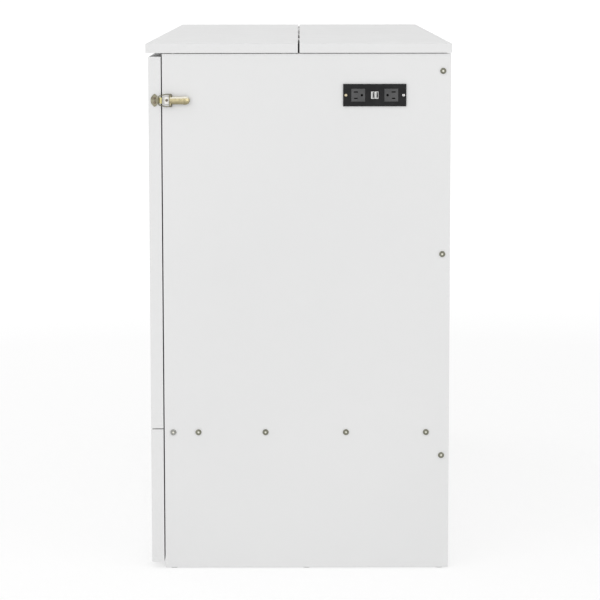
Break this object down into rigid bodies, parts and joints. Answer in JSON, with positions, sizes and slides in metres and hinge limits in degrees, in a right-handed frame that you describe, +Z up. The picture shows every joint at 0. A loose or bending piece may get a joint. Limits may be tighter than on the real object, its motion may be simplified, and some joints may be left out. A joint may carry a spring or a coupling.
{
  "type": "folding chest bed",
  "caption": "White chest bed seen closed: a folding top leaf, a front that folds out as a slatted bed base on hinged legs, a drawer below, side draw latches and a power outlet.",
  "frame": {"origin": "on the floor, under the middle of the top", "axes": "+X along the width, -Y towards the front, +Z up"},
  "size_m": [1.6486, 0.61, 1.0679],
  "materials": {
    "white_board": "white satin lacquer",
    "slat_wood": "sanded pine",
    "hinge_steel": "zinc plated",
    "bolt_steel": "zinc plated",
    "latch_brass": "brass plated, bright",
    "latch_wire": "brass plated, bright",
    "black_plastic": "satin",
    "grey_plastic": "satin",
    "port_steel": "bright",
    "ticking": "woven ticking",
    "glide_plastic": "matte",
    "bumper_rubber": "matte"
  },
  "bodies": {
    "carcass": {"left_side_panel": "white_board", "right_side_panel": "white_board", "back_panel": "white_board", "deck_panel": "white_board", "deck_front_rail": "white_board", "base_stretcher": "white_board", "top_cleats": "white_board", "floor_glides": "glide_plastic", "lid_bumpers": "bumper_rubber", "panel_bolts": "bolt_steel", "cord_grommet": "black_plastic", "rear_top": "white_board", "lid_hinge_fixed_leaves": "hinge_steel", "lid_hinge_pins": "hinge_steel", "head_base_battens": "slat_wood", "head_base_slats": "slat_wood", "mattress_front_section": "ticking", "mattress_middle_section": "ticking", "mattress_rear_section": "ticking", "deck_hinge_fixed_leaves": "hinge_steel", "deck_hinge_pins": "hinge_steel", "slide_outer_members": "hinge_steel", "latch_bases": "latch_brass", "latch_pins": "latch_brass", "latch_screws": "bolt_steel", "power_bezel": "black_plastic", "power_box": "black_plastic", "power_receptacles": "grey_plastic", "usb_port_shells": "port_steel", "usb_port_tongues": "black_plastic", "power_unit_screws": "bolt_steel"},
    "lid": {"front_lid": "white_board", "lid_hinge_moving_leaves": "hinge_steel"},
    "middle_base": {"middle_base_rails": "slat_wood", "middle_base_stiles": "slat_wood", "middle_base_slats": "slat_wood", "deck_hinge_moving_leaves": "hinge_steel", "apex_hinge_base_leaves": "hinge_steel", "apex_hinge_pins": "hinge_steel", "middle_leg_hinge_fixed_leaves": "hinge_steel", "middle_leg_hinge_pins": "hinge_steel"},
    "front": {"front_panel": "white_board", "apex_hinge_front_leaves": "hinge_steel", "latch_keepers": "latch_brass", "keeper_screws": "bolt_steel", "foot_leg_hinge_fixed_leaves": "hinge_steel", "foot_leg_hinge_pins": "hinge_steel"},
    "middle_legs": {"middle_legs": "white_board", "middle_leg_hinge_moving_leaves": "hinge_steel"},
    "foot_legs": {"foot_legs": "white_board", "foot_leg_hinge_moving_leaves": "hinge_steel"},
    "drawer": {"drawer_front": "white_board", "drawer_sides": "white_board", "drawer_back": "white_board", "drawer_bottom": "white_board", "slide_inner_members": "hinge_steel"},
    "right_lever": {"right_latch_lever": "latch_brass"},
    "right_loop": {"right_latch_loop": "latch_wire"},
    "left_lever": {"left_latch_lever": "latch_brass"},
    "left_loop": {"left_latch_loop": "latch_wire"}
  },
  "joints": [
    {"name": "lid_hinge", "type": "hinge", "parent": "carcass", "child": "lid", "pos_m": [0, 0, 1.0663], "axis": [-1, 0, 0], "range_deg": [0, 180]},
    {"name": "bed_fold", "type": "hinge", "parent": "carcass", "child": "middle_base", "pos_m": [0, -0.257, 0.294], "axis": [1, 0, 0], "range_deg": [0, 90]},
    {"name": "front_fold", "type": "hinge", "parent": "middle_base", "child": "front", "pos_m": [0, -0.264, 1.0405], "axis": [-1, 0, 0], "range_deg": [0, 180]},
    {"name": "middle_leg_fold", "type": "hinge", "parent": "middle_base", "child": "middle_legs", "pos_m": [0, -0.2558, 1], "axis": [-1, 0, 0], "range_deg": [0, 90]},
    {"name": "foot_leg_fold", "type": "hinge", "parent": "front", "child": "foot_legs", "pos_m": [0, -0.2722, 0.33], "axis": [-1, 0, 0], "range_deg": [0, 90]},
    {"name": "drawer_slide", "type": "slide", "parent": "carcass", "child": "drawer", "axis": [0, -1, 0], "range_m": [0, 0.4]},
    {"name": "right_latch_swing", "type": "hinge", "parent": "carcass", "child": "right_lever", "pos_m": [0.819, -0.2566, 0.953], "axis": [0, 0, -1], "range_deg": [0, 150]},
    {"name": "right_loop_swing", "type": "hinge", "parent": "right_lever", "child": "right_loop", "pos_m": [0.8182, -0.253, 0.953], "axis": [0, 0, 1], "range_deg": [0, 150]},
    {"name": "left_latch_swing", "type": "hinge", "parent": "carcass", "child": "left_lever", "pos_m": [-0.819, -0.2566, 0.953], "axis": [0, 0, 1], "range_deg": [0, 150]},
    {"name": "left_loop_swing", "type": "hinge", "parent": "left_lever", "child": "left_loop", "pos_m": [-0.8182, -0.253, 0.953], "axis": [0, 0, -1], "range_deg": [0, 150]}
  ],
  "couplings": [
    {"joint": "front_fold", "follows": "bed_fold", "ratio": 2},
    {"joint": "middle_leg_fold", "follows": "bed_fold", "ratio": 1},
    {"joint": "foot_leg_fold", "follows": "bed_fold", "ratio": 1},
    {"joint": "right_loop_swing", "follows": "right_latch_swing", "ratio": 1},
    {"joint": "left_loop_swing", "follows": "left_latch_swing", "ratio": 1}
  ]
}
